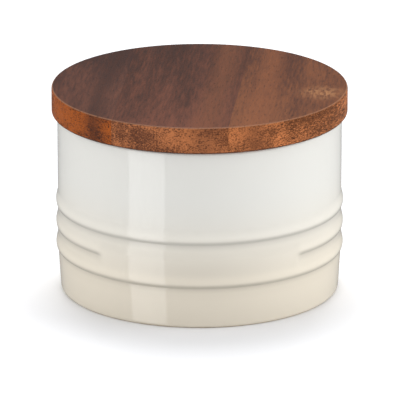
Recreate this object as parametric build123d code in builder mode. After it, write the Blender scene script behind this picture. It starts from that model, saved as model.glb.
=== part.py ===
# A low round stoneware jar with three soft ribs and a flat wooden lid.
# Millimetres. The origin is the centre of the foot, on the surface that the jar stands on.
# +Z is up, and -Y is the front, where a smooth panel interrupts the groove of the lower ribs.
from build123d import *
import os
from math import cos, radians, sin

# Jar body
jar_height = 72.6
wall_radius = 56.75
wall_thickness = 5.0
floor_thickness = 5.5
floor_corner_radius = 8.0
lip_outer_radius = 1.4
lip_inner_radius = 1.8

# Lower wall and foot: each inset is how far the wall stands in from the one above it
lower_wall_inset = 0.25
lower_wall_taper = 0.8
foot_edge_width = 1.3
foot_edge_height = 1.6
foot_ring_width = 4.2
foot_recess = 1.2

# Ribs, from the lowest up: each swells slowly downwards and tucks in quickly below its crest
lowest_tuck_height = 16.8
rib_pitch = 8.95
rib_relief = 0.7
rib_flank_length = 4.3
rib_underside_height = 2.2
rib_count = 3
panel_half_angle = 45.0

# How a rib's underside bends, as shares of its height and of the rib's relief
crest_bend_height = 0.35
tuck_bend_height = 0.1
tuck_bend_relief = 0.4

# Lid
lid_overhang = 2.25
lid_thickness = 10.9
lid_edge_radius = 1.1
plug_depth = 9.0
plug_clearance = 1.6
plug_edge_radius = 1.0

# Seal and the groove that it sits in
seal_groove_top = 2.4
seal_groove_height = 4.2
seal_groove_depth = 3.0
seal_groove_clearance = 0.15
seal_wall_clearance = 0.2
seal_fin_thickness = 1.1

# Staves: the glue joints run front to back, a little turned, at these offsets from the axis
stave_turn = 5.0
left_joint_offset = -30.2
right_joint_offset = 16.2

mouth_radius = wall_radius - wall_thickness
lower_wall_top_radius = wall_radius - lower_wall_inset
lower_wall_foot_radius = lower_wall_top_radius - lower_wall_taper
foot_outer_radius = lower_wall_foot_radius - foot_edge_width
foot_inner_radius = foot_outer_radius - foot_ring_width
lid_radius = wall_radius + lid_overhang
plug_radius = mouth_radius - plug_clearance
groove_floor_radius = plug_radius - seal_groove_depth
groove_top_height = jar_height - seal_groove_top
groove_bottom_height = groove_top_height - seal_groove_height
crest_radius = wall_radius + rib_relief
tuck_heights = [lowest_tuck_height + rib_pitch * index for index in range(rib_count)]
crest_heights = [tuck_height + rib_underside_height for tuck_height in tuck_heights]


def rib_flank(start_radius, start_height, end_height):
    """Upper side of a rib: an S-curve, upright at both ends, going down to the crest."""
    middle = (start_height + end_height) / 2
    return Bezier(
        (start_radius, start_height),
        (start_radius, middle),
        (crest_radius, middle),
        (crest_radius, end_height),
    )


def rib_underside(crest_height, tuck_height, end_radius):
    """Lower side of a rib: rounds over from the crest and runs in to the wall below it."""
    drop = crest_height - tuck_height
    return Bezier(
        (crest_radius, crest_height),
        (crest_radius, tuck_height + drop * crest_bend_height),
        (end_radius + rib_relief * tuck_bend_relief, tuck_height + drop * tuck_bend_height),
        (end_radius, tuck_height),
    )


# The groove between the two lower ribs is filled here, and cut at the back and sides below.
with BuildPart() as jar_body:
    with BuildSketch(Plane.XZ) as jar_section:
        with BuildLine():
            Polyline(
                (0, foot_recess),
                (foot_inner_radius, foot_recess),
                (foot_inner_radius, 0),
                (foot_outer_radius, 0),
            )
            Bezier(
                (foot_outer_radius, 0),
                (lower_wall_foot_radius, 0),
                (lower_wall_foot_radius, foot_edge_height / 2),
                (lower_wall_foot_radius, foot_edge_height),
            )
            Line(
                (lower_wall_foot_radius, foot_edge_height),
                (lower_wall_top_radius, tuck_heights[0]),
            )
            rib_underside(crest_heights[0], tuck_heights[0], lower_wall_top_radius)
            Line((crest_radius, crest_heights[0]), (crest_radius, crest_heights[1]))
            rib_flank(wall_radius, crest_heights[1] + rib_flank_length, crest_heights[1])
            top_of_last = crest_heights[1] + rib_flank_length
            for tuck_height, crest_height in zip(tuck_heights[2:], crest_heights[2:]):
                Line((wall_radius, top_of_last), (wall_radius, tuck_height))
                rib_underside(crest_height, tuck_height, wall_radius)
                rib_flank(wall_radius, crest_height + rib_flank_length, crest_height)
                top_of_last = crest_height + rib_flank_length
            Polyline(
                (wall_radius, top_of_last),
                (wall_radius, jar_height),
                (mouth_radius, jar_height),
                (mouth_radius, floor_thickness),
                (0, floor_thickness),
                (0, foot_recess),
            )
        make_face()
        mouth_corners = jar_section.vertices().group_by(Axis.Y)[-1].sort_by(Axis.X)
        fillet(mouth_corners[-1], radius=lip_outer_radius)
        fillet(mouth_corners[0], radius=lip_inner_radius)
        cavity_corner = jar_section.vertices().sort_by_distance((mouth_radius, floor_thickness))
        fillet(cavity_corner[0], radius=floor_corner_radius)
    revolve(axis=Axis.Z)

    # The groove starts and ends at the sides of a smooth front panel.
    groove_half_turn = 180 - panel_half_angle
    groove_start = Plane.XZ.rotated((0, 0, 90 - groove_half_turn))
    with BuildSketch(groove_start):
        with BuildLine():
            groove_flank_top = crest_heights[0] + rib_flank_length
            rib_underside(crest_heights[1], tuck_heights[1], wall_radius)
            Line((wall_radius, tuck_heights[1]), (wall_radius, groove_flank_top))
            rib_flank(wall_radius, groove_flank_top, crest_heights[0])
            Line((crest_radius, crest_heights[0]), (crest_radius, crest_heights[1]))
        make_face()
    revolve(axis=Axis.Z, revolution_arc=2 * groove_half_turn, mode=Mode.SUBTRACT)
jar_body.part.label = "jar_body"

# The lid is turned as one disc with its plug, and then parted at the glue joints.
with BuildPart() as turned_lid:
    with BuildSketch(Plane.XZ) as lid_section:
        with BuildLine():
            Polyline(
                (0, jar_height - plug_depth),
                (plug_radius, jar_height - plug_depth),
                (plug_radius, groove_bottom_height),
                (groove_floor_radius, groove_bottom_height),
                (groove_floor_radius, groove_top_height),
                (plug_radius, groove_top_height),
                (plug_radius, jar_height),
                (lid_radius, jar_height),
                (lid_radius, jar_height + lid_thickness),
                (0, jar_height + lid_thickness),
                close=True,
            )
        make_face()
        outer_corners = lid_section.vertices().group_by(Axis.X)[-1]
        fillet(outer_corners, radius=lid_edge_radius)
        plug_corner = lid_section.vertices().sort_by_distance(
            (plug_radius, jar_height - plug_depth)
        )
        fillet(plug_corner[0], radius=plug_edge_radius)
    revolve(axis=Axis.Z)

across = Vector(cos(radians(stave_turn)), -sin(radians(stave_turn)), 0)
left_joint = Plane(origin=across * left_joint_offset, z_dir=across)
right_joint = Plane(origin=across * right_joint_offset, z_dir=across)

with BuildPart() as lid_stave_left:
    add(turned_lid.part)
    split(bisect_by=left_joint, keep=Keep.BOTTOM)
lid_stave_left.part.label = "lid_stave_left"

with BuildPart() as lid_stave_middle:
    add(turned_lid.part)
    split(bisect_by=left_joint, keep=Keep.TOP)
    split(bisect_by=right_joint, keep=Keep.BOTTOM)
lid_stave_middle.part.label = "lid_stave_middle"

with BuildPart() as lid_stave_right:
    add(turned_lid.part)
    split(bisect_by=right_joint, keep=Keep.TOP)
lid_stave_right.part.label = "lid_stave_right"

# The seal is a flat ring in the groove, with two round-edged fins that reach for the wall.
seal_inner_radius = groove_floor_radius + seal_groove_clearance
seal_band_radius = plug_radius - seal_groove_clearance
seal_tip_radius = mouth_radius - seal_wall_clearance
seal_bottom_height = groove_bottom_height + seal_groove_clearance
seal_top_height = groove_top_height - seal_groove_clearance
fin_tip_centre = seal_tip_radius - seal_fin_thickness / 2

with BuildPart() as lid_seal:
    with BuildSketch(Plane.XZ):
        with BuildLine():
            Polyline(
                (seal_inner_radius, seal_bottom_height),
                (seal_band_radius, seal_bottom_height),
                (seal_band_radius, seal_top_height),
                (seal_inner_radius, seal_top_height),
                close=True,
            )
        make_face()
        for fin_bottom in (seal_bottom_height, seal_top_height - seal_fin_thickness):
            with BuildLine():
                Polyline(
                    (fin_tip_centre, fin_bottom + seal_fin_thickness),
                    (seal_inner_radius, fin_bottom + seal_fin_thickness),
                    (seal_inner_radius, fin_bottom),
                    (fin_tip_centre, fin_bottom),
                )
                ThreePointArc(
                    (fin_tip_centre, fin_bottom),
                    (seal_tip_radius, fin_bottom + seal_fin_thickness / 2),
                    (fin_tip_centre, fin_bottom + seal_fin_thickness),
                )
            make_face()
    revolve(axis=Axis.Z)
lid_seal.part.label = "lid_seal"

os.makedirs("parts", exist_ok=True)
export_step(jar_body.part, "parts/jar_body.step")
export_step(lid_stave_left.part, "parts/lid_stave_left.step")
export_step(lid_stave_middle.part, "parts/lid_stave_middle.step")
export_step(lid_stave_right.part, "parts/lid_stave_right.step")
export_step(lid_seal.part, "parts/lid_seal.step")
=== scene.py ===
"""A low stoneware jar with a flat wooden lid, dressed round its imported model.

Lengths are millimetres in the classes below, apart from those of the floor and the lights, which
are metres, as in the meshes. +Z is up and -Y is the front. The jar, the three staves of the lid
and its seal are each modelled and finished here.
"""
import logging
import math
from dataclasses import dataclass
from enum import Enum
from typing import Optional, Union

import bpy
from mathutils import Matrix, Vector


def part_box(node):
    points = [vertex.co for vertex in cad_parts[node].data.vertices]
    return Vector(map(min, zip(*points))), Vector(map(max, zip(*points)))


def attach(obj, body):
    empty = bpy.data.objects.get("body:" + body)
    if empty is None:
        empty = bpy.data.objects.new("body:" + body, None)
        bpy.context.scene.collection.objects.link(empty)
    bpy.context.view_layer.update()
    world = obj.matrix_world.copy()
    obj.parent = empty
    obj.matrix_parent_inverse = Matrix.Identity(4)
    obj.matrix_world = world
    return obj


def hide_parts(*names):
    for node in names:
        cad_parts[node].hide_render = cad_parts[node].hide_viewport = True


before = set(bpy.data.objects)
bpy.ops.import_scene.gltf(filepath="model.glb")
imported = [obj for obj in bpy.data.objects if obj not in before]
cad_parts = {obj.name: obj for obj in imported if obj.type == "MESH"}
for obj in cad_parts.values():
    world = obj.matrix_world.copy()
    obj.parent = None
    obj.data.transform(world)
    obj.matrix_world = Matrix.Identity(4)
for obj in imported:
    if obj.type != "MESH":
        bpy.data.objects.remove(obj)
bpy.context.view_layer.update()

log = logging.getLogger("jar")

MM = 0.001
WELD_DISTANCE = 0.002
# Name of the mark on the jar's wall that holds its painted shade and painted highlight
PAINTED_LIGHT_ATTRIBUTE = "painted_shade_and_highlight"
Point = tuple[float, float]
Pair = tuple[float, float]
Triple = tuple[float, float, float]
SocketValue = Union[float, tuple, bpy.types.NodeSocket]


def linear(hex_colour: str) -> tuple[float, float, float, float]:
    """Turns an sRGB hex colour into the linear colour that shaders use.

    Args:
        hex_colour: six hex digits, such as "E4DFD3".

    Returns:
        Linear red, green and blue, and an alpha of 1.
    """
    channels = []
    for start in (0, 2, 4):
        value = int(hex_colour[start:start + 2], 16) / 255
        channels.append(value / 12.92 if value <= 0.04045 else ((value + 0.055) / 1.055) ** 2.4)
    return (channels[0], channels[1], channels[2], 1.0)


def smooth_step(value: float) -> float:
    """Eases a value from 0 to 1, level at both ends, and holds it outside them."""
    held = min(max(value, 0.0), 1.0)
    return held * held * (3 - 2 * held)


def arc(centre: Point, radii: Pair, start: float, end: float, steps: int) -> list[Point]:
    """Points along an arc of an ellipse.

    Args:
        centre: radius and height of its centre.
        radii: its half axes, across and up.
        start: first angle in degrees, from straight out, going up.
        end: last angle in degrees.
        steps: how many runs the arc is divided into.

    Returns:
        The points from start to end, both included.
    """
    points = []
    for step in range(steps + 1):
        angle = math.radians(start + (end - start) * step / steps)
        across = centre[0] + radii[0] * math.cos(angle)
        points.append((across, centre[1] + radii[1] * math.sin(angle)))
    return points


# Mesh operators


def edit(piece: bpy.types.Object) -> None:
    """Opens a piece in edit mode with nothing selected.

    Args:
        piece: the piece to edit.
    """
    bpy.ops.object.select_all(action="DESELECT")
    bpy.context.view_layer.objects.active = piece
    piece.select_set(True)
    bpy.ops.object.mode_set(mode="EDIT")
    bpy.ops.mesh.select_all(action="DESELECT")


def leave_edit() -> None:
    """Goes back to object mode with nothing selected."""
    bpy.ops.object.mode_set(mode="OBJECT")
    bpy.ops.object.select_all(action="DESELECT")


def turn_on_lathe(name: str, outline: list[Point], steps: int) -> bpy.types.Object:
    """Turns a closed shape from an outline, as on a lathe.

    Args:
        name: name of the new piece.
        outline: radius and height of each point in millimetres, from the axis round to the axis,
            or a closed loop whose last point is its first.
        steps: how many facets go round.

    Returns:
        The turned piece, with its place in its mesh.
    """
    bpy.ops.object.select_all(action="DESELECT")
    bpy.ops.mesh.primitive_plane_add(size=MM, location=(0, 0, 0))
    piece = bpy.context.object
    piece.name = name
    piece.data.name = name
    edit(piece)
    bpy.ops.mesh.select_all(action="SELECT")
    bpy.ops.mesh.merge(type="CENTER")
    first = Vector((outline[0][0], 0, outline[0][1])) * MM
    bpy.ops.transform.translate(value=first)
    for before, after in zip(outline, outline[1:]):
        step = Vector((after[0] - before[0], 0, after[1] - before[1])) * MM
        bpy.ops.mesh.extrude_region_move(TRANSFORM_OT_translate={"value": step})
    bpy.ops.mesh.select_all(action="SELECT")
    bpy.ops.mesh.spin(steps=steps, angle=math.tau, center=(0, 0, 0), axis=(0, 0, 1))
    bpy.ops.mesh.select_all(action="SELECT")
    bpy.ops.mesh.remove_doubles(threshold=MM * WELD_DISTANCE)
    bpy.ops.mesh.normals_make_consistent(inside=False)
    leave_edit()
    return piece


def keep_side(piece: bpy.types.Object, point: Vector, normal: Vector, beyond: bool) -> None:
    """Cuts a piece along a plane, closes the cut and keeps one side.

    Args:
        piece: the piece to cut.
        point: a point on the plane, in metres.
        normal: the plane's normal.
        beyond: True keeps the side that the normal points to.
    """
    edit(piece)
    bpy.ops.mesh.select_all(action="SELECT")
    bpy.ops.mesh.bisect(
        plane_co=point, plane_no=normal, use_fill=True, clear_inner=beyond, clear_outer=not beyond
    )
    bpy.ops.mesh.select_all(action="SELECT")
    bpy.ops.mesh.normals_make_consistent(inside=False)
    leave_edit()


def shade(piece: bpy.types.Object, crease_degrees: float) -> None:
    """Shades a piece smooth, except over edges sharper than an angle.

    Args:
        piece: the piece to shade.
        crease_degrees: the angle past which an edge stays sharp.
    """
    bpy.ops.object.select_all(action="DESELECT")
    bpy.context.view_layer.objects.active = piece
    piece.select_set(True)
    bpy.ops.object.shade_smooth_by_angle(angle=math.radians(crease_degrees))
    bpy.ops.object.select_all(action="DESELECT")


# Materials


def new_material(name: str) -> tuple[bpy.types.Material, bpy.types.NodeTree, bpy.types.Node]:
    """Makes a node material.

    Args:
        name: common name of the real material.

    Returns:
        The material, its node tree and its Principled shader.
    """
    material = bpy.data.materials.new(name)
    material.use_nodes = True
    tree = material.node_tree
    shader = next(node for node in tree.nodes if node.type == "BSDF_PRINCIPLED")
    return material, tree, shader


def add_node(
    tree: bpy.types.NodeTree,
    kind: str,
    settings: Optional[dict[str, object]] = None,
    inputs: Optional[dict[Union[str, int], SocketValue]] = None,
    output: Union[str, int] = 0,
) -> bpy.types.NodeSocket:
    """Adds a node with its settings, values and links.

    Args:
        tree: the node tree that it joins.
        kind: the node's type name.
        settings: properties of the node.
        inputs: its input sockets, each given a value or another node's output to link.
        output: the socket wanted from it.

    Returns:
        The node's output socket.
    """
    node = tree.nodes.new(kind)
    for name, value in (settings or {}).items():
        setattr(node, name, value)
    for name, value in (inputs or {}).items():
        if isinstance(value, bpy.types.NodeSocket):
            tree.links.new(value, node.inputs[name])
        else:
            node.inputs[name].default_value = value
    return node.outputs[output]


def blend_colours(
    tree: bpy.types.NodeTree, factor: SocketValue, first: SocketValue, second: SocketValue
) -> bpy.types.NodeSocket:
    """Mixes two colours: 0 gives the first and 1 the second."""
    inputs = {0: factor, 6: first, 7: second}
    return add_node(tree, "ShaderNodeMix", {"data_type": "RGBA"}, inputs, output=2)


def band(
    tree: bpy.types.NodeTree, value: bpy.types.NodeSocket, low: float, high: float,
    to_low: SocketValue = 0.0, to_high: SocketValue = 1.0,
) -> bpy.types.NodeSocket:
    """Eases a value from one range over to another, and holds it outside.

    Args:
        tree: the node tree that it joins.
        value: the value to spread.
        low: where the first range starts.
        high: where it ends, which may be under low.
        to_low: what the value becomes at low.
        to_high: what it becomes at high.

    Returns:
        The new value's socket.
    """
    return add_node(tree, "ShaderNodeMapRange", {"interpolation_type": "SMOOTHSTEP"}, {
        "Value": value, "From Min": low, "From Max": high, "To Min": to_low, "To Max": to_high,
    })


def product(
    tree: bpy.types.NodeTree, first: SocketValue, second: SocketValue
) -> bpy.types.NodeSocket:
    """Multiplies two values."""
    return add_node(tree, "ShaderNodeMath", {"operation": "MULTIPLY"}, {0: first, 1: second})


def weighted_sum(
    tree: bpy.types.NodeTree, parts: list[tuple[bpy.types.NodeSocket, float]]
) -> bpy.types.NodeSocket:
    """Adds up values, each with its own weight.

    Args:
        tree: the node tree that they join.
        parts: each value and its weight.

    Returns:
        The sum's socket.
    """
    total: SocketValue = 0.0
    for value, weight in parts:
        total = add_node(tree, "ShaderNodeMath", {"operation": "MULTIPLY_ADD"},
                         {0: value, 1: weight, 2: total})
    return total


def millimetre_coordinates(
    tree: bpy.types.NodeTree, turn_degrees: float = 0.0, shift: Pair = (0.0, 0.0)
) -> bpy.types.NodeSocket:
    """Object coordinates in millimetres, turned about the jar's axis and shifted.

    Args:
        tree: the node tree that they join.
        turn_degrees: how far the pattern's axes are turned.
        shift: how far the pattern is moved along the turned axes.

    Returns:
        The coordinates' socket.
    """
    place = add_node(tree, "ShaderNodeTexCoord", output="Object")
    return add_node(tree, "ShaderNodeMapping", {"vector_type": "POINT"}, {
        "Vector": place,
        "Rotation": (0, 0, math.radians(turn_degrees)),
        "Scale": (1 / MM, 1 / MM, 1 / MM),
        "Location": (shift[0], shift[1], 0),
    })


def relief(
    tree: bpy.types.NodeTree, height: bpy.types.NodeSocket, depth: float, strength: float
) -> bpy.types.NodeSocket:
    """Normals of a surface whose small relief has the given depth in millimetres."""
    inputs = {"Strength": strength, "Distance": depth * MM, "Height": height}
    return add_node(tree, "ShaderNodeBump", {}, inputs)


def noise(
    tree: bpy.types.NodeTree, place: bpy.types.NodeSocket, sizes: Triple,
    detail: float = 2.0, distortion: float = 0.0,
) -> bpy.types.NodeSocket:
    """Noise in patches of a real size.

    Args:
        tree: the node tree that it joins.
        place: coordinates in millimetres.
        sizes: how long a patch is along X, Y and Z, in millimetres.
        detail: how many finer layers it has.
        distortion: how far the patches are bent.

    Returns:
        The noise's socket, from 0 to 1.
    """
    scaled = add_node(tree, "ShaderNodeVectorMath", {"operation": "DIVIDE"}, {0: place, 1: sizes})
    inputs = {"Vector": scaled, "Scale": 1.0, "Detail": detail, "Distortion": distortion}
    return add_node(tree, "ShaderNodeTexNoise", {}, inputs)


@dataclass(frozen=True)
class CreamGlaze:
    """Glossy cream glaze fired on stoneware, with bare clay on the foot ring.

    The glaze is warmer low down, its own tone, and a little darker there, partly painted shade.
    Painted shade darkens it under each rib and over the front panel, and a painted highlight
    lightens the crests. Its gloss is softly uneven.
    """

    upper_colour: str = "E3E2DC"
    lower_colour: str = "E4DBCA"
    clay_colour: str = "C9B89C"
    change_low: float = 12.0
    change_high: float = 56.0
    # Painted shade: how far the glaze darkens where its mark is 1
    painted_shade_factor: float = 0.66
    glaze_roughness: float = 0.07
    clay_roughness: float = 0.85
    index_of_refraction: float = 1.52
    flow_patch: float = 22.0
    flow_depth: float = 0.02
    flow_strength: float = 1.0
    clay_line: float = 0.55
    clay_line_ends: Pair = (0.9, 1.3)
    clay_line_patch: float = 9.0

    def build(self) -> bpy.types.Material:
        """Makes the glaze.

        Returns:
            The material, which reads the mark of painted shade and painted highlight on its piece.
        """
        # A fired glaze is a thin glass: its reflections are sharp and white over a soft cream
        # body, and the unglazed clay under the foot is sandy and dull.
        material, tree, shader = new_material("cream_glaze_on_stoneware")
        place = millimetre_coordinates(tree)
        height = add_node(tree, "ShaderNodeSeparateXYZ", {}, {0: place}, output="Z")
        # The glaze grows warmer low down, which is its own tone, and a little darker, which is
        # partly painted shade
        warmth_and_painted_shade = band(tree, height, self.change_low, self.change_high)
        glaze = blend_colours(tree, warmth_and_painted_shade, linear(self.lower_colour), linear(self.upper_colour))
        # Painted light from the mark: over 0 it darkens the glaze as painted shade, under 0 it
        # lightens it as a painted highlight
        shade_mark = add_node(tree, "ShaderNodeAttribute", {"attribute_name": PAINTED_LIGHT_ATTRIBUTE}, output="Fac")
        tone = add_node(tree, "ShaderNodeMath", {"operation": "MULTIPLY_ADD"},
                        {0: shade_mark, 1: self.painted_shade_factor - 1, 2: 1.0})
        glaze = add_node(tree, "ShaderNodeVectorMath", {"operation": "SCALE"},
                         {"Vector": glaze, "Scale": tone})
        wander = noise(tree, place, (self.clay_line_patch,) * 3)
        line = add_node(tree, "ShaderNodeMath", {"operation": "MULTIPLY_ADD"},
                        {0: wander, 1: self.clay_line, 2: height})
        low, high = (self.clay_line * end for end in self.clay_line_ends)
        bare = band(tree, line, low, high, 1.0, 0.0)
        colour = blend_colours(tree, bare, glaze, linear(self.clay_colour))
        tree.links.new(colour, shader.inputs["Base Color"])
        rough = band(tree, bare, 0.0, 1.0, self.glaze_roughness, self.clay_roughness)
        tree.links.new(rough, shader.inputs["Roughness"])
        shader.inputs["IOR"].default_value = self.index_of_refraction
        flow = noise(tree, place, (self.flow_patch,) * 3, detail=1.0)
        bump = relief(tree, flow, self.flow_depth, self.flow_strength)
        tree.links.new(bump, shader.inputs["Normal"])
        return material


@dataclass(frozen=True)
class OiledAcacia:
    """Acacia, sanded and oiled: semi-matt, red-brown, with soft streaks, fibre and open pores.

    The grain runs from front to back. The round edge is lighter and more orange than the face,
    partly its own tone and partly painted light, as if the side were lit more than the top, and it
    is speckled with cut pores. A painted highlight lightens the eased corner above it, and painted
    shade darkens the one below.
    Each stave has one band of its own, lighter or darker than the rest, along the grain. A value
    that ends in _ends is the range over which a look fades in, of a tone or of how far the surface
    faces up.
    """

    # Name and colours
    name: str
    face_dark: str
    face_light: str
    edge_dark: str
    edge_light: str
    # Where the pattern is taken from, and the stave's own band
    shift: Pair
    band_offset: float
    band_share: float
    band_colour: str
    band_width: float = 9.0
    # Curly grain
    curl_share: float = 0.0
    curl_centre: Triple = (49.5, -7.0, 83.0)
    curl_radius: float = 13.0
    curl_wave: Triple = (1.3, 3.4, 1.3)
    curl_distortion: float = 0.5
    curl_ends: Pair = (0.35, 0.65)
    curl_least: float = 0.2
    curl_colour: str = "BC8456"
    # Pores
    pore_colour: str = "2A1710"
    pore_ends: Pair = (0.42, 0.3)
    pore_share_edge: float = 0.6
    pore_share_face: float = 0.4
    # Eased corners above and below the round edge: a painted highlight above, painted shade below
    corner_colour: str = "AE7E60"
    corner_share: float = 0.5
    corner_start_ends: Pair = (0.45, 0.75)
    corner_stop_ends: Pair = (0.8, 0.97)
    shade_colour: str = "3A2014"
    shade_share: float = 0.6
    shade_start_ends: Pair = (-0.15, -0.5)
    shade_stop_ends: Pair = (-0.97, -0.8)
    # Sizes of the grain across, along and up. A real pore is about 0.2 mm wide and a fibre is
    # finer still: both are drawn two or more times as coarse, so that they show.
    grain_turn: float = 5.0
    broad: Triple = (26.0, 120.0, 18.0)
    broad_distortion: float = 0.6
    streak: Triple = (5.0, 70.0, 5.0)
    fibre: Triple = (0.9, 9.0, 0.9)
    speckle: Triple = (0.6, 4.0, 0.42)
    # How broad patches, streaks and fibre, or cut pores on the edge, mix into each tone
    face_weights: Triple = (0.4, 0.25, 0.35)
    face_fade: Pair = (0.0012, -0.0016)
    face_ends: Pair = (0.28, 0.72)
    edge_weights: Triple = (0.35, 0.2, 0.45)
    edge_ends: Pair = (0.4, 0.6)
    edge_to_face_ends: Pair = (0.5, 0.8)
    # Sheen and relief
    roughness: Pair = (0.44, 0.58)
    roughness_ends: Pair = (0.3, 0.7)
    specular_level: float = 0.2
    relief_depth: float = 0.05
    relief_strength: float = 0.6
    pore_relief: float = -0.6

    def light_or_dark_band(
        self, tree: bpy.types.NodeTree, across: bpy.types.NodeSocket, wander: bpy.types.NodeSocket
    ) -> bpy.types.NodeSocket:
        """Draws the soft band that runs along the grain at one offset across the lid.

        Args:
            tree: the material's node tree.
            across: distance across the grain, in millimetres.
            wander: noise that bends the band.

        Returns:
            The band's share of the colour.
        """
        offset = weighted_sum(tree, [(across, 1.0), (wander, self.band_width)])
        middle = self.band_offset + self.band_width / 2
        away = add_node(tree, "ShaderNodeMath", {"operation": "SUBTRACT"}, {0: offset, 1: middle})
        away = add_node(tree, "ShaderNodeMath", {"operation": "ABSOLUTE"}, {0: away})
        return band(tree, away, 0.0, self.band_width, self.band_share, 0.0)

    def curl(self, tree: bpy.types.NodeTree, place: bpy.types.NodeSocket) -> bpy.types.NodeSocket:
        """Draws the patch of curly grain, with short light waves across the grain.

        Args:
            tree: the material's node tree.
            place: coordinates in millimetres, along the grain.

        Returns:
            The patch's share of the colour.
        """
        away = add_node(tree, "ShaderNodeVectorMath", {"operation": "DISTANCE"},
                        {0: place, 1: self.curl_centre}, output="Value")
        waves = noise(tree, place, self.curl_wave, detail=1.0, distortion=self.curl_distortion)
        patch = band(tree, away, 0.0, self.curl_radius, self.curl_share, 0.0)
        return product(tree, patch, band(tree, waves, *self.curl_ends, self.curl_least, 1.0))

    def ease_corners(
        self, tree: bpy.types.NodeTree, colour: bpy.types.NodeSocket, upright: bpy.types.NodeSocket
    ) -> bpy.types.NodeSocket:
        """Paints a highlight on the eased corner above the round edge, and shade on the one below
        it.

        Args:
            tree: the material's node tree.
            colour: the wood's colour so far.
            upright: how far the surface faces up, from -1 to 1.

        Returns:
            The wood's colour with both corners on it.
        """
        # Painted highlight on the upper eased corner, then painted shade on the lower one
        painted_corner_light = product(tree, band(tree, upright, *self.corner_start_ends),
                         band(tree, upright, *self.corner_stop_ends, self.corner_share, 0.0))
        colour = blend_colours(tree, painted_corner_light, colour, linear(self.corner_colour))
        shaded = product(tree, band(tree, upright, *self.shade_start_ends),
                         band(tree, upright, *self.shade_stop_ends, 0.0, self.shade_share))
        return blend_colours(tree, shaded, colour, linear(self.shade_colour))

    def build(self) -> bpy.types.Material:
        """Makes the wood of one stave.

        Returns:
            The material.
        """
        # Sanded and oiled wood has a broad, weak sheen and no sharp highlight. The oil deepens
        # the red of the face, and the cut ends of the pores stay dark.
        material, tree, shader = new_material(self.name)
        lid_place = millimetre_coordinates(tree, self.grain_turn)
        across = add_node(tree, "ShaderNodeSeparateXYZ", {}, {0: lid_place}, output="X")
        along = across.node.outputs["Y"]
        place = millimetre_coordinates(tree, self.grain_turn, self.shift)
        broad = noise(tree, place, self.broad, distortion=self.broad_distortion)
        streak = noise(tree, place, self.streak)
        fibre = noise(tree, place, self.fibre, detail=1.0)
        speckle = noise(tree, place, self.speckle)

        face_parts = (broad, streak, fibre, across, along)
        face_weights = self.face_weights + self.face_fade
        face_tone = weighted_sum(tree, list(zip(face_parts, face_weights)))
        face_tone = band(tree, face_tone, *self.face_ends)
        face = blend_colours(tree, face_tone, linear(self.face_dark), linear(self.face_light))
        face = blend_colours(tree, self.curl(tree, lid_place), face, linear(self.curl_colour))
        edge_tone = weighted_sum(tree, list(zip((broad, streak, speckle), self.edge_weights)))
        edge_tone = band(tree, edge_tone, *self.edge_ends)
        edge = blend_colours(tree, edge_tone, linear(self.edge_dark), linear(self.edge_light))

        normal = add_node(tree, "ShaderNodeTexCoord", output="Normal")
        upright = add_node(tree, "ShaderNodeSeparateXYZ", {}, {0: normal}, output="Z")
        flatness = add_node(tree, "ShaderNodeMath", {"operation": "ABSOLUTE"}, {0: upright})
        is_face = band(tree, flatness, *self.edge_to_face_ends)
        # The edge is partly its own tone and partly painted light: it is drawn lighter and more
        # orange than the top, as if lit more
        colour = blend_colours(tree, is_face, edge, face)
        own_band = self.light_or_dark_band(tree, across, broad)
        colour = blend_colours(tree, own_band, colour, linear(self.band_colour))
        colour = self.ease_corners(tree, colour, upright)
        pores = band(tree, speckle, *self.pore_ends)
        share = band(tree, is_face, 0.0, 1.0, self.pore_share_edge, self.pore_share_face)
        colour = blend_colours(tree, product(tree, pores, share), colour, linear(self.pore_colour))
        tree.links.new(colour, shader.inputs["Base Color"])

        rough = band(tree, fibre, *self.roughness_ends, *self.roughness)
        tree.links.new(rough, shader.inputs["Roughness"])
        shader.inputs["Specular IOR Level"].default_value = self.specular_level
        surface = weighted_sum(tree, [(pores, self.pore_relief), (fibre, 1.0)])
        bump = relief(tree, surface, self.relief_depth, self.relief_strength)
        tree.links.new(bump, shader.inputs["Normal"])
        return material


@dataclass(frozen=True)
class MilkySilicone:
    """Moulded silicone rubber: milky, matt and a little translucent at its thin fins."""

    light_colour: str = "DCD9D0"
    dark_colour: str = "D3D0C6"
    roughness: float = 0.55
    index_of_refraction: float = 1.41
    scatter_share: float = 0.25
    scatter_radius: float = 1.5
    # The real grain of the mould is finer: it is drawn coarse enough to show
    mould_grain: float = 0.7
    grain_depth: float = 0.02
    grain_strength: float = 0.5

    def build(self) -> bpy.types.Material:
        """Makes the silicone.

        Returns:
            The material.
        """
        # Moulded rubber spreads light inside it, so its fins look soft and never quite grey
        material, tree, shader = new_material("milky_silicone_rubber")
        place = millimetre_coordinates(tree)
        grain = noise(tree, place, (self.mould_grain,) * 3)
        colour = blend_colours(tree, grain, linear(self.dark_colour), linear(self.light_colour))
        tree.links.new(colour, shader.inputs["Base Color"])
        shader.inputs["Roughness"].default_value = self.roughness
        shader.inputs["IOR"].default_value = self.index_of_refraction
        shader.inputs["Subsurface Weight"].default_value = self.scatter_share
        shader.inputs["Subsurface Radius"].default_value = (1.0, 1.0, 1.0)
        shader.inputs["Subsurface Scale"].default_value = self.scatter_radius * MM
        bump = relief(tree, grain, self.grain_depth, self.grain_strength)
        tree.links.new(bump, shader.inputs["Normal"])
        return material


# The object


def top_of(node: str) -> float:
    """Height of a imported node's highest point, in millimetres."""
    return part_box(node)[1].z / MM


def reach_of(node: str) -> float:
    """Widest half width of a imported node, in millimetres."""
    low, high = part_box(node)
    return max(high.x, high.y, -low.x, -low.y) / MM


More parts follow.
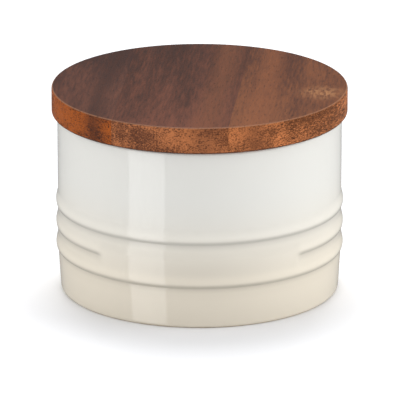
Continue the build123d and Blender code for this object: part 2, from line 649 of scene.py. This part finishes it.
@dataclass
class JarBody:
    """The stoneware jar: foot ring, tapered lower wall, three ribs, plain wall and round lip."""

    # Wall, lip and floor
    height: float
    crest_radius: float
    relief: float = 0.7
    wall_thickness: float = 5.0
    floor_height: float = 5.5
    floor_corner: float = 8.0
    lip_outer: float = 1.4
    lip_inner: float = 1.8
    # Lower wall and foot
    lower_inset: float = 0.25
    lower_taper: float = 0.8
    foot_edge: float = 1.3
    foot_edge_height: float = 1.6
    foot_ring: float = 4.2
    foot_recess: float = 1.2
    foot_soften: float = 0.4
    # Ribs, whose undersides bend in to the wall below as an arc and a short ramp
    lowest_tuck: float = 16.8
    pitch: float = 8.95
    flank: float = 4.3
    underside: float = 2.2
    underside_start_degrees: float = -76.0
    tuck_bend: Pair = (0.03, 0.1)
    underside_steps: int = 9
    flank_steps: int = 12
    ribs: int = 3
    # Front panel
    panel_half_angle: float = 43.5
    panel_fade: float = 2.2
    # Painted shade under each rib, in a dark core with a long tail, a painted highlight on the
    # crests, and painted shade over the middle of the front panel
    shade_lift: float = 0.5
    shade_core: float = 0.9
    shade_tail: float = 3.8
    shade_core_share: float = 0.5
    crest_highlight_lift: float = 0.9
    crest_highlight_reach: float = 1.9
    crest_highlight_share: float = 0.2
    panel_shade: float = 0.25
    # Rings of the mesh: drops below a tuck, shares of a plain wall, and heights inside
    below_tuck_steps: tuple[float, ...] = (2.2, 1.6, 1.0, 0.5)
    wall_rings: tuple[float, ...] = (0.25, 0.5, 0.75)
    inner_wall_rings: tuple[float, ...] = (60.0, 45.0, 30.0)
    facets: int = 288
    crease_degrees: float = 180.0

    @property
    def wall_radius(self) -> float:
        """Radius of the plain wall."""
        return self.crest_radius - self.relief

    def rib(self, tuck: float, wall_below: float) -> list[Point]:
        """Outline of one rib, from its tuck up to the end of its flank.

        Args:
            tuck: height where the underside meets the wall below.
            wall_below: radius of that wall.

        Returns:
            The points, going up.
        """
        crest_height = tuck + self.underside
        depth = self.crest_radius - wall_below
        below = [(wall_below, tuck - drop) for drop in self.below_tuck_steps]
        below.append((wall_below + depth * self.tuck_bend[0], tuck - self.tuck_bend[1]))
        under = arc((wall_below, crest_height), (depth, self.underside),
                    self.underside_start_degrees, 0, self.underside_steps)
        above = []
        for step in range(1, self.flank_steps + 1):
            share = step / self.flank_steps
            radius = self.crest_radius - self.relief * smooth_step(share)
            above.append((radius, crest_height + self.flank * share))
        return below + under + above

    def outline(self) -> list[Point]:
        """The whole section of the jar.

        Returns:
            The points, from the axis below round to the axis inside.
        """
        lower_top = self.wall_radius - self.lower_inset
        lower_foot = lower_top - self.lower_taper
        foot_outer = lower_foot - self.foot_edge
        foot_inner = foot_outer - self.foot_ring
        soften = self.foot_soften
        points = [(0.0, self.foot_recess), (foot_inner / 2, self.foot_recess)]
        points += arc((foot_inner - soften, self.foot_recess - soften), (soften, soften),
                      90, 0, steps=3)
        points += arc((foot_inner + soften, soften), (soften, soften), 180, 270, steps=3)
        points.append((foot_outer - self.foot_ring / 2, 0.0))
        points += arc((foot_outer, self.foot_edge_height), (self.foot_edge, self.foot_edge_height),
                      -90, 0, steps=9)
        rise = self.lowest_tuck - self.below_tuck_steps[0] - self.foot_edge_height
        for share in self.wall_rings:
            radius = lower_foot + self.lower_taper * share
            points.append((radius, self.foot_edge_height + rise * share))
        for index in range(self.ribs):
            wall_below = lower_top if index == 0 else self.wall_radius
            points += self.rib(self.lowest_tuck + self.pitch * index, wall_below)
        last = points[-1][1]
        lip = self.height - self.lip_outer
        points += [(self.wall_radius, last + (lip - last) * share) for share in self.wall_rings]
        points += arc((self.wall_radius - self.lip_outer, lip), (self.lip_outer, self.lip_outer),
                      0, 90, steps=7)
        mouth = self.wall_radius - self.wall_thickness
        points += arc((mouth + self.lip_inner, self.height - self.lip_inner),
                      (self.lip_inner, self.lip_inner), 90, 180, steps=8)
        corner = self.floor_corner
        points += [(mouth, height) for height in self.inner_wall_rings]
        points += arc((mouth - corner, self.floor_height + corner), (corner, corner),
                      0, -90, steps=12)
        points += [(mouth / 2, self.floor_height), (0.0, self.floor_height)]
        return points

    def turn_from_front(self, place: Vector) -> float:
        """Angle in degrees between a place and the front, seen from above."""
        return abs(math.degrees(math.atan2(place.x, -place.y)))

    def panel_share(self, place: Vector) -> float:
        """How far a place on the wall belongs to the smooth front panel, from 0 to 1."""
        inside = self.panel_half_angle + self.panel_fade - self.turn_from_front(place)
        return smooth_step(inside / (2 * self.panel_fade))

    def press_panel(self, piece: bpy.types.Object) -> None:
        """Fills the groove between the two lower ribs over the front, with softly faded ends.

        Args:
            piece: the turned jar.
        """
        low = self.lowest_tuck + self.underside
        high = low + self.pitch
        for vertex in piece.data.vertices:
            height = vertex.co.z / MM
            radius = math.hypot(vertex.co.x, vertex.co.y) / MM
            if not low < height < high or radius < self.wall_radius - self.wall_thickness / 2:
                continue
            grown = 1 + (self.crest_radius / radius - 1) * self.panel_share(vertex.co)
            vertex.co.x *= grown
            vertex.co.y *= grown

    def painted_light_at(self, place: Vector) -> float:
        """How much painted light lies on the wall: over 0 for painted shade, under 0 for a
        highlight.

        Args:
            place: a point of the outer wall, in metres.

        Returns:
            From 1, deep in a tuck, down to a little under 0 on the crest of a rib.
        """
        # Painted shade under each rib, less a painted highlight over each crest, and painted shade
        # over the middle of the front panel
        depth = 0.0
        for index in range(self.ribs):
            tuck = self.lowest_tuck + self.pitch * index
            below = tuck + self.shade_lift - place.z / MM
            core = math.exp(-((below / self.shade_core) ** 2))
            tail = smooth_step(1 - below / self.shade_tail) if below > 0 else core
            shade_mark = self.shade_core_share * core + (1 - self.shade_core_share) * tail
            over_crest = place.z / MM - tuck - self.underside - self.crest_highlight_lift
            crest_lightening = self.crest_highlight_share * math.exp(-((over_crest / self.crest_highlight_reach) ** 2))
            shown = 1 - self.panel_share(place) if index == 1 else 1.0
            depth += (shade_mark - crest_lightening) * shown
        middle = self.lowest_tuck + self.underside + self.pitch / 2
        off_middle = (place.z / MM - middle) / self.pitch
        towards_front = smooth_step(1 - self.turn_from_front(place) / self.panel_half_angle)
        return depth + self.panel_shade * towards_front * smooth_step(1 - abs(off_middle))

    def paint_rib_light(self, piece: bpy.types.Object) -> None:
        """Marks the painted shade and painted highlight at each point of the outer wall.

        Args:
            piece: the turned jar.
        """
        painted_light_layer = piece.data.attributes.new(PAINTED_LIGHT_ATTRIBUTE, "FLOAT", "POINT")
        for vertex, mark in zip(piece.data.vertices, painted_light_layer.data):
            radius = math.hypot(vertex.co.x, vertex.co.y) / MM
            if radius > self.wall_radius - self.wall_thickness / 2:
                mark.value = self.painted_light_at(vertex.co)

    def build(self, glaze: bpy.types.Material) -> bpy.types.Object:
        """Models and dresses the jar, and sets it on its body.

        Args:
            glaze: the finish of the jar.

        Returns:
            The finished piece.
        """
        piece = turn_on_lathe("stoneware_jar", self.outline(), self.facets)
        self.press_panel(piece)
        # Paints shade under the ribs and over the front panel, and a highlight on the crests
        self.paint_rib_light(piece)
        shade(piece, self.crease_degrees)
        piece.data.materials.append(glaze)
        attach(piece, "jar")
        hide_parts("jar_body")
        return piece


class StaveSide(Enum):
    """Which of the lid's three staves a piece is."""

    LEFT = "left"
    MIDDLE = "middle"
    RIGHT = "right"


@dataclass
class WoodenLid:
    """The lid: a round disc with a grooved plug, turned from three glued staves."""

    rim_height: float
    top_height: float
    radius: float
    mouth_radius: float
    edge_ease: float = 1.1
    plug_depth: float = 9.0
    plug_clearance: float = 1.6
    plug_edge: float = 1.0
    groove_top: float = 2.4
    groove_height: float = 4.2
    groove_depth: float = 3.0
    stave_turn: float = 5.0
    left_joint: float = -30.2
    right_joint: float = 16.2
    top_rings: tuple[float, ...] = (0.8, 0.4, 0.0)
    facets: int = 256
    crease_degrees: float = 35.0

    @property
    def plug_radius(self) -> float:
        """Radius of the plug, which clears the mouth."""
        return self.mouth_radius - self.plug_clearance

    @property
    def groove_floor_radius(self) -> float:
        """Radius of the bottom of the seal's groove."""
        return self.plug_radius - self.groove_depth

    def outline(self) -> list[Point]:
        """The lid's section.

        Returns:
            The points, from the axis under the plug round to the axis on top.
        """
        plug, floor = self.plug_radius, self.groove_floor_radius
        bottom = self.rim_height - self.plug_depth
        groove_top = self.rim_height - self.groove_top
        groove_bottom = groove_top - self.groove_height
        ease = self.edge_ease
        points = [(0.0, bottom), (plug / 2, bottom)]
        points += arc((plug - self.plug_edge, bottom + self.plug_edge),
                      (self.plug_edge, self.plug_edge), -90, 0, steps=5)
        points += [(plug, groove_bottom), (floor, groove_bottom), (floor, groove_top)]
        points += [(plug, groove_top), (plug, self.rim_height)]
        points += arc((self.radius - ease, self.rim_height + ease), (ease, ease), -90, 0, steps=6)
        points += arc((self.radius - ease, self.top_height - ease), (ease, ease), 0, 90, steps=6)
        return points + [(self.radius * share, self.top_height) for share in self.top_rings]

    def stave(self, side: StaveSide, wood: bpy.types.Material) -> bpy.types.Object:
        """Models one stave, parted from the turned lid at its glue joints, and dresses it.

        Args:
            side: which stave it is.
            wood: its finish.

        Returns:
            The finished piece.
        """
        piece = turn_on_lathe(f"acacia_stave_{side.value}", self.outline(), self.facets)
        turn = math.radians(self.stave_turn)
        across = Vector((math.cos(turn), -math.sin(turn), 0))
        if side is not StaveSide.LEFT:
            joint = self.left_joint if side is StaveSide.MIDDLE else self.right_joint
            keep_side(piece, across * joint * MM, across, beyond=True)
        if side is not StaveSide.RIGHT:
            joint = self.right_joint if side is StaveSide.MIDDLE else self.left_joint
            keep_side(piece, across * joint * MM, across, beyond=False)
        shade(piece, self.crease_degrees)
        piece.data.materials.append(wood)
        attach(piece, "lid")
        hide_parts(f"lid_stave_{side.value}")
        return piece


@dataclass
class LidSeal:
    """The silicone ring in the plug's groove, with two round-edged fins."""

    bottom: float
    top: float
    groove_floor_radius: float
    plug_radius: float
    tip_radius: float
    groove_clearance: float = 0.15
    fin_thickness: float = 1.1
    facets: int = 192
    crease_degrees: float = 40.0

    def outline(self) -> list[Point]:
        """The seal's section.

        Returns:
            The points of a closed loop, whose last point is its first.
        """
        inner_radius = self.groove_floor_radius + self.groove_clearance
        band_radius = self.plug_radius - self.groove_clearance
        half = self.fin_thickness / 2
        tip = self.tip_radius - half
        points = [(inner_radius, self.bottom)]
        points += arc((tip, self.bottom + half), (half, half), -90, 90, steps=8)
        points.append((band_radius, self.bottom + self.fin_thickness))
        points.append((band_radius, self.top - self.fin_thickness))
        points += arc((tip, self.top - half), (half, half), -90, 90, steps=8)
        points += [(inner_radius, self.top), points[0]]
        return points

    def build(self, silicone: bpy.types.Material) -> bpy.types.Object:
        """Models and dresses the seal, and sets it on its body.

        Args:
            silicone: the finish of the seal.

        Returns:
            The finished piece.
        """
        piece = turn_on_lathe("silicone_seal", self.outline(), self.facets)
        shade(piece, self.crease_degrees)
        piece.data.materials.append(silicone)
        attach(piece, "seal")
        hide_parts("lid_seal")
        return piece


# The studio


@dataclass
class PhotoCamera:
    """A long lens a little above the jar, as in the photograph."""

    distance: float = 2360.0
    elevation_degrees: float = 16.64
    aim_below_degrees: float = 1.115
    focal_length: float = 533.5
    sensor_width: float = 36.0
    side_step: float = 0.16
    view_reach: float = 50000.0

    def build(self, target_height: float) -> bpy.types.Object:
        """Sets up the camera.

        Args:
            target_height: height of the lid's top in millimetres.

        Returns:
            The camera, which is also the scene's camera.
        """
        rise = math.radians(self.elevation_degrees)
        place = Vector((self.side_step, -self.distance * math.cos(rise),
                        target_height + self.distance * math.sin(rise))) * MM
        tilt = math.radians(90 - self.elevation_degrees - self.aim_below_degrees)
        bpy.ops.object.camera_add(location=place, rotation=(tilt, 0, 0))
        camera = bpy.context.object
        camera.data.lens = self.focal_length
        camera.data.sensor_width = self.sensor_width
        camera.data.clip_end = self.view_reach * MM
        bpy.context.scene.camera = camera
        return camera


@dataclass
class SoftLight:
    """One rectangular studio light that points at the jar, with its sizes in metres."""

    name: str
    azimuth_degrees: float
    elevation_degrees: float
    distance: float
    width: float
    height: float
    power: float
    mirrored: bool = False
    target_height: float = 0.04

    def build(self) -> bpy.types.Object:
        """Adds the light, with its power in watts, facing the middle of the jar.

        Returns:
            The light.
        """
        turn, rise = math.radians(self.azimuth_degrees), math.radians(self.elevation_degrees)
        place = Vector((math.sin(turn) * math.cos(rise), -math.cos(turn) * math.cos(rise),
                        math.sin(rise))) * self.distance
        bpy.ops.object.light_add(type="AREA", location=place)
        light = bpy.context.object
        light.name = self.name
        to_jar = Vector((0, 0, self.target_height)) - place
        light.rotation_euler = to_jar.to_track_quat("-Z", "Y").to_euler()
        light.data.shape = "RECTANGLE"
        light.data.size = self.width
        light.data.size_y = self.height
        light.data.energy = self.power
        light.visible_glossy = self.mirrored
        return light


@dataclass
class Studio:
    """A plain pale floor, a white surround and soft lights, with their sizes in metres."""

    floor_size: float = 8.0
    floor_colour: str = "FBFCFF"
    floor_roughness: float = 0.9
    backdrop_strength: float = 1.1
    surround_strength: float = 0.7
    mirrored_strength: float = 0.3
    strip_azimuths: Pair = (-56.5, -27.0)
    strip_distance: float = 0.7
    strip_half_height: float = 0.6
    strip_radiance: float = 2.0

    def surround(self) -> None:
        """Lights the scene softly from all round, and shows white behind the jar."""
        world = bpy.data.worlds.new("white_surround")
        bpy.context.scene.world = world
        world.use_nodes = True
        tree = world.node_tree
        background = next(node for node in tree.nodes if node.type == "BACKGROUND")
        mirrored = add_node(tree, "ShaderNodeLightPath", output="Is Glossy Ray")
        seen = mirrored.node.outputs["Is Camera Ray"]
        light = band(tree, mirrored, 0.0, 1.0, self.surround_strength, self.mirrored_strength)
        strength = band(tree, seen, 0.0, 1.0, light, self.backdrop_strength)
        tree.links.new(strength, background.inputs["Strength"])
        background.inputs["Color"].default_value = (1, 1, 1, 1)

    def floor(self) -> None:
        """Lays the pale floor under the jar."""
        bpy.ops.mesh.primitive_plane_add(size=self.floor_size, location=(0, 0, 0))
        floor = bpy.context.object
        floor.name = "pale_floor"
        # Uncoated paper scatters all light, so the floor shows soft shadows and no highlight
        material, _, shader = new_material("matt_white_paper")
        shader.inputs["Base Color"].default_value = linear(self.floor_colour)
        shader.inputs["Roughness"].default_value = self.floor_roughness
        shader.inputs["Specular IOR Level"].default_value = 0.0
        floor.data.materials.append(material)
        floor.visible_glossy = False

    def strip(self) -> None:
        """Stands the tall strip of light that the glaze mirrors at the left of the front."""
        ends = [Vector((math.sin(math.radians(turn)), -math.cos(math.radians(turn)), 0))
                * self.strip_distance for turn in self.strip_azimuths]
        middle = (ends[0] + ends[1]) / 2
        bpy.ops.mesh.primitive_plane_add(size=1, location=middle)
        strip = bpy.context.object
        strip.name = "strip_light"
        strip.scale = ((ends[1] - ends[0]).length, 2 * self.strip_half_height, 1)
        strip.rotation_euler = (-middle).to_track_quat("Z", "Y").to_euler()
        # A lit diffuser glows evenly, so the glaze mirrors it as one flat pale strip
        material = bpy.data.materials.new("strip_light_face")
        material.use_nodes = True
        tree = material.node_tree
        tree.nodes.clear()
        glow = add_node(tree, "ShaderNodeEmission", {}, {"Strength": self.strip_radiance})
        shown = tree.nodes.new("ShaderNodeOutputMaterial")
        tree.links.new(glow, shown.inputs["Surface"])
        strip.data.materials.append(material)
        strip.visible_camera = False
        strip.visible_diffuse = False
        strip.visible_shadow = False
        strip.visible_transmission = False

    def lights(self) -> None:
        """Adds the soft lights."""
        SoftLight("soft_overhead", azimuth_degrees=180.0, elevation_degrees=70.0, distance=1.8,
                  width=0.8, height=0.8, power=15.0, mirrored=True).build()
        SoftLight("soft_right", azimuth_degrees=86.0, elevation_degrees=18.0, distance=1.8,
                  width=1.2, height=1.2, power=12.0).build()
        SoftLight("soft_left", azimuth_degrees=-80.0, elevation_degrees=18.0, distance=1.8,
                  width=1.2, height=1.2, power=6.0).build()

    def build(self) -> None:
        """Sets up the whole studio."""
        bpy.context.scene.view_settings.view_transform = "Standard"
        self.surround()
        self.floor()
        self.strip()
        self.lights()


# The three staves, matched to the tones of the real ones


LEFT_WOOD = OiledAcacia(
    name="oiled_acacia_left", face_dark="3C2019", face_light="6A4030",
    edge_dark="56280C", edge_light="A6520E", shift=(13.0, 41.0),
    band_offset=-37.5, band_share=0.6, band_colour="3C2119", band_width=6.0,
)
MIDDLE_WOOD = OiledAcacia(
    name="oiled_acacia_middle", face_dark="3E2117", face_light="724230",
    edge_dark="62341A", edge_light="BC7242", shift=(57.0, -23.0),
    band_offset=8.0, band_share=0.5, band_colour="7C492C",
)
RIGHT_WOOD = OiledAcacia(
    name="oiled_acacia_right", face_dark="45241A", face_light="7E4B2D",
    edge_dark="683A1C", edge_light="CA7A46", shift=(-31.0, 77.0),
    band_offset=26.0, band_share=0.5, band_colour="905532", curl_share=0.65,
)


def report(piece: bpy.types.Object) -> None:
    """Logs a finished piece and how many faces it has."""
    log.info("%s: %d faces", piece.name, len(piece.data.polygons))


def main() -> None:
    """Builds the jar and its lid in order, then the studio and the camera."""
    jar = JarBody(height=top_of("jar_body"), crest_radius=reach_of("jar_body"))
    report(jar.build(CreamGlaze().build()))
    lid = WoodenLid(
        rim_height=jar.height,
        top_height=top_of("lid_stave_middle"),
        radius=reach_of("lid_stave_middle"),
        mouth_radius=jar.wall_radius - jar.wall_thickness,
    )
    for side, wood in zip(StaveSide, (LEFT_WOOD, MIDDLE_WOOD, RIGHT_WOOD)):
        report(lid.stave(side, wood.build()))
    low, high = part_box("lid_seal")
    seal = LidSeal(
        bottom=low.z / MM,
        top=high.z / MM,
        groove_floor_radius=lid.groove_floor_radius,
        plug_radius=lid.plug_radius,
        tip_radius=reach_of("lid_seal"),
    )
    report(seal.build(MilkySilicone().build()))
    Studio().build()
    PhotoCamera().build(lid.top_height)
    log.info("camera and studio are set")


if __name__ == "__main__":
    logging.basicConfig(level=logging.INFO, format="%(name)s: %(message)s")
    main()
